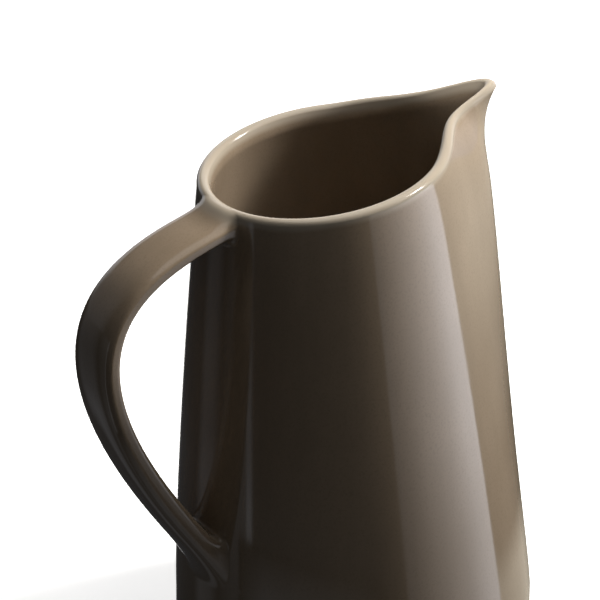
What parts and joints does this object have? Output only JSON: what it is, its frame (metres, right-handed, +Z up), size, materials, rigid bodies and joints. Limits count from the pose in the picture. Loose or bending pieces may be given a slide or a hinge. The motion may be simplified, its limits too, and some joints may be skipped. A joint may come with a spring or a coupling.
{
  "type": "jug",
  "caption": "Glazed stoneware jug: a tall round wall that tapers upwards and is drawn out into a pouring spout, with a strap handle luted on at both ends and a bare foot ring.",
  "frame": {"origin": "middle of the foot ring's underside, on the surface that the jug stands on", "axes": "+Z up, +X towards the spout, -X towards the handle, and the XZ plane is the plane of symmetry"},
  "size_m": [0.2113, 0.157, 0.2427],
  "materials": {
    "glaze": "gloss",
    "bare_clay": "matte"
  },
  "bodies": {
    "root": {"body_wall": "glaze", "base": "glaze", "foot_ring": "bare_clay", "handle": "glaze", "upper_joint": "glaze", "lower_joint": "glaze"}
  },
  "joints": []
}
